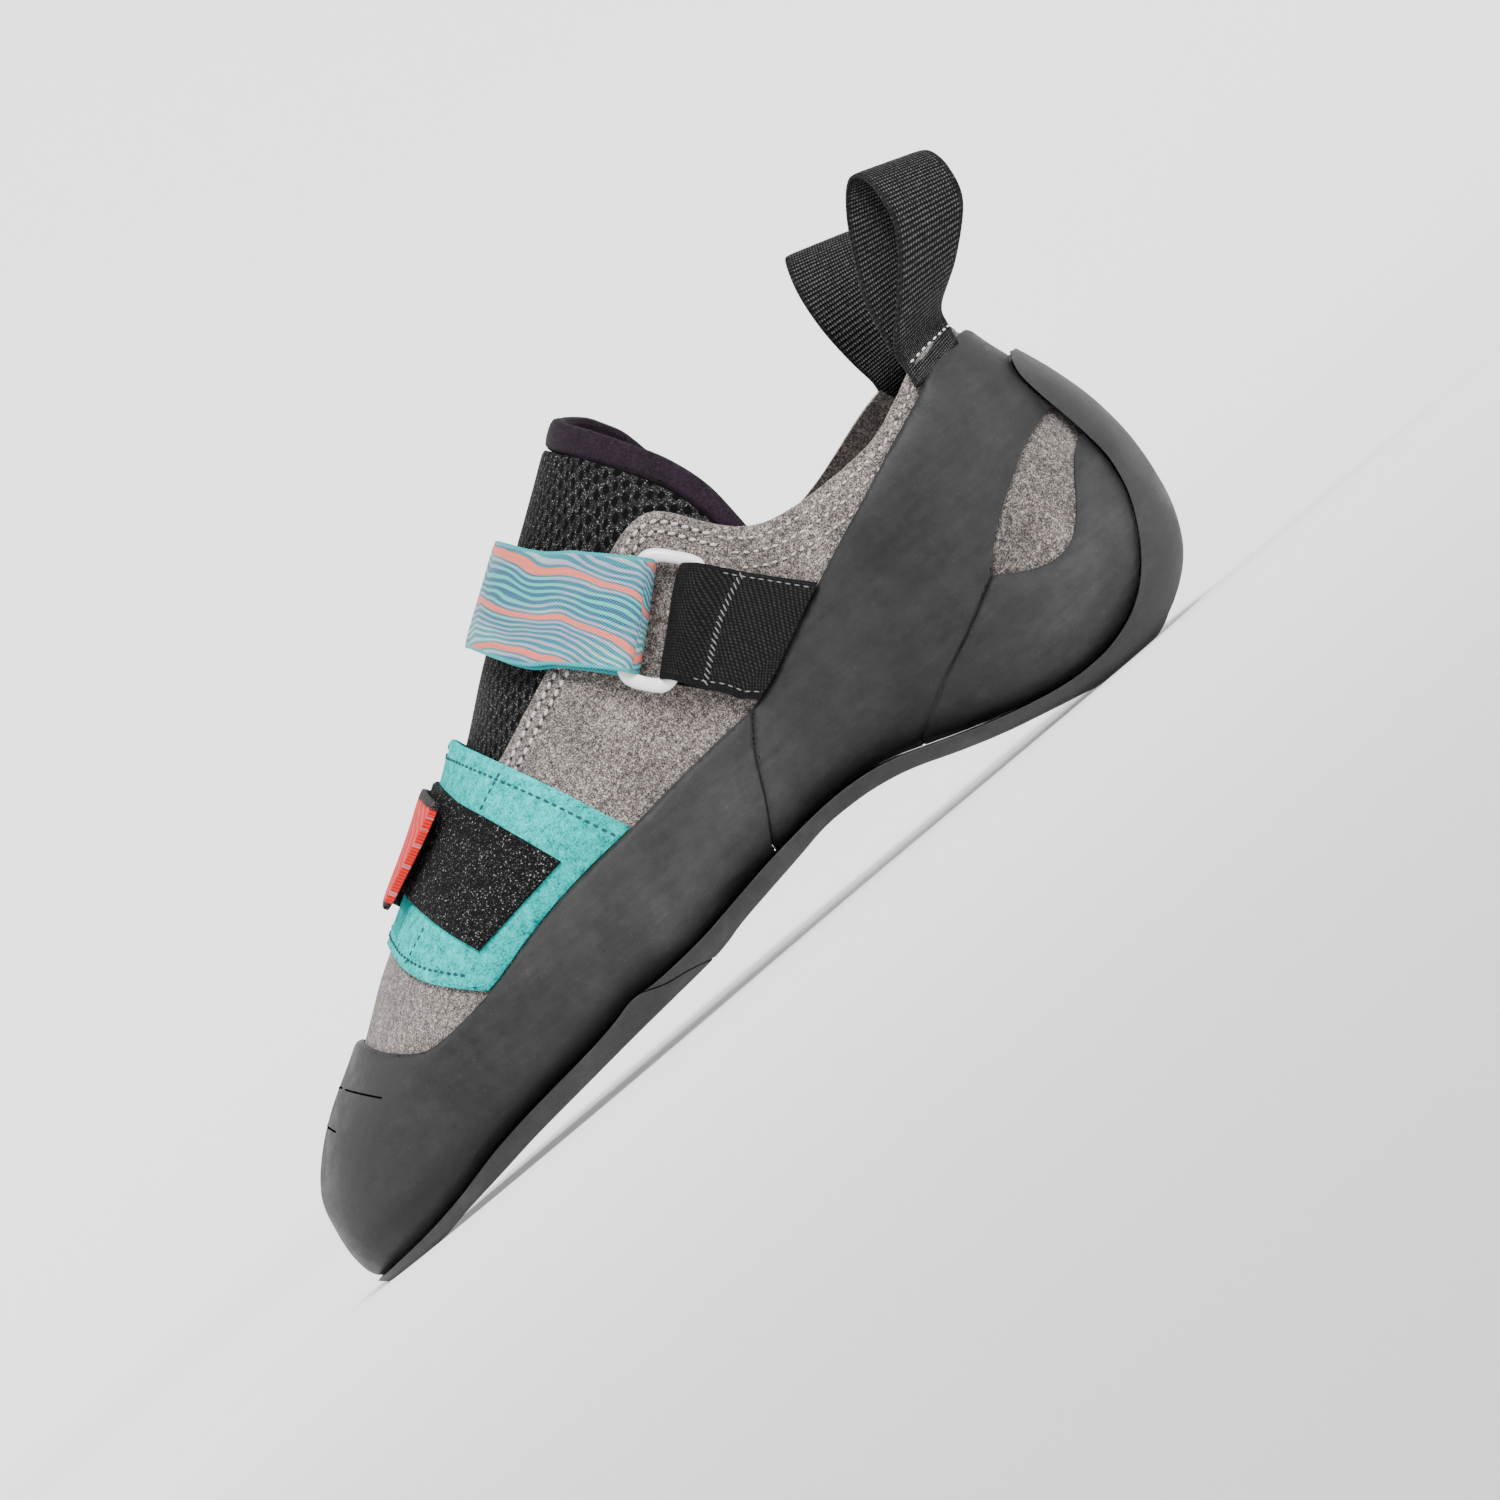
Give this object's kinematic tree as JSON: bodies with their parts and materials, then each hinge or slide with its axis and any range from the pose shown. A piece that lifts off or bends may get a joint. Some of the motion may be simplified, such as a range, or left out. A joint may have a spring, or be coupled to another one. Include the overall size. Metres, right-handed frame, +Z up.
{
  "type": "climbing shoe",
  "caption": "Low climbing shoe for the left foot with a downturned sole, rubber rands, a bootie tongue, hook-and-loop straps and heel pull loops.",
  "frame": {"origin": "middle of the bounding box at the floor", "axes": "+X to the heel, -X to the toe, -Y to the outer side of the foot, +Z up"},
  "size_m": [0.2462, 0.087, 0.1183],
  "materials": {
    "suede": "napped suede, mottled warm grey",
    "mesh": "open padded mesh, black",
    "binding": "soft stretch binding, dark aubergine",
    "insole": "matte felt, dark grey",
    "sole_rubber": "smooth matte climbing rubber with dust",
    "rand_rubber": "smooth satin rand rubber with dust",
    "microsuede": "turquoise microsuede",
    "loop_pile": "black looped pile",
    "strap_lining": "coral woven face with a dark pile edge",
    "elastic": "woven elastic with wavy turquoise, lilac and coral stripes",
    "ring_plastic": "white gloss",
    "webbing": "black ribbed webbing"
  },
  "bodies": {
    "root": {"upper": "suede", "tongue": "mesh", "tongue_binding": "binding", "insole": "insole", "outsole_front": "sole_rubber", "outsole_rear": "sole_rubber", "toe_rand": "rand_rubber", "sling_rand": "rand_rubber", "heel_rand_outer": "rand_rubber", "heel_rand_inner": "rand_rubber", "vamp_panel": "microsuede", "loop_patch": "loop_pile", "lower_strap": "strap_lining", "ring_strap": "elastic", "strap_ring": "ring_plastic", "ring_webbing": "webbing", "pull_loop_outer": "webbing", "pull_loop_inner": "webbing"}
  },
  "joints": []
}
